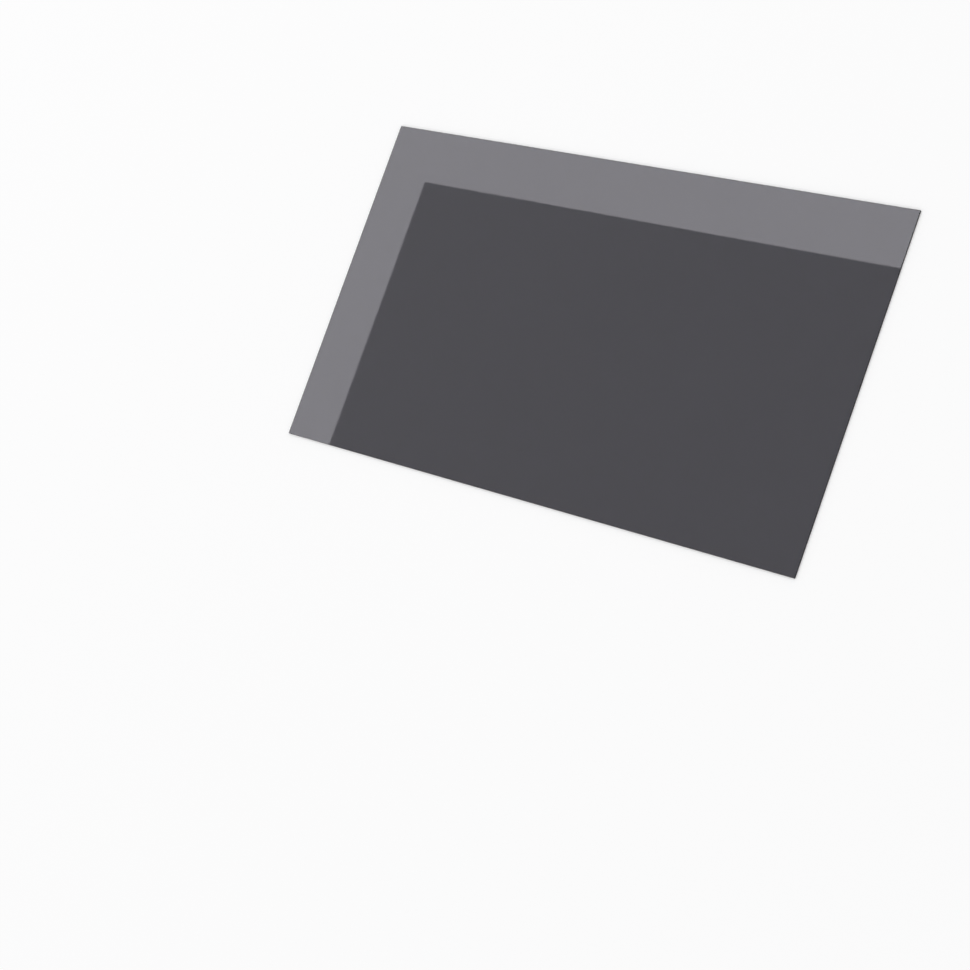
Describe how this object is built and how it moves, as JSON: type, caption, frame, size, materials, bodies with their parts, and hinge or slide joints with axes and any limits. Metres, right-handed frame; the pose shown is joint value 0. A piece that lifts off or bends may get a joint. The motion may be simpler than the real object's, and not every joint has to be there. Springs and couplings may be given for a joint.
{
  "type": "laptop privacy filter",
  "caption": "Thin flat rectangular sheet of dark see-through film with square-cut edges, placed over a laptop's display so that it can't be read from the side.",
  "frame": {"origin": "middle of the back face, which the sheet lies on", "axes": "+X along the width, to the viewer's right; +Y along the height, towards the top edge; +Z out of the viewing face"},
  "size_m": [0.345, 0.194, 0.0008],
  "materials": {
    "tinted_film": "smooth and clear, with matt black cut edges"
  },
  "bodies": {
    "root": {"filter_sheet": "tinted_film"}
  },
  "joints": []
}
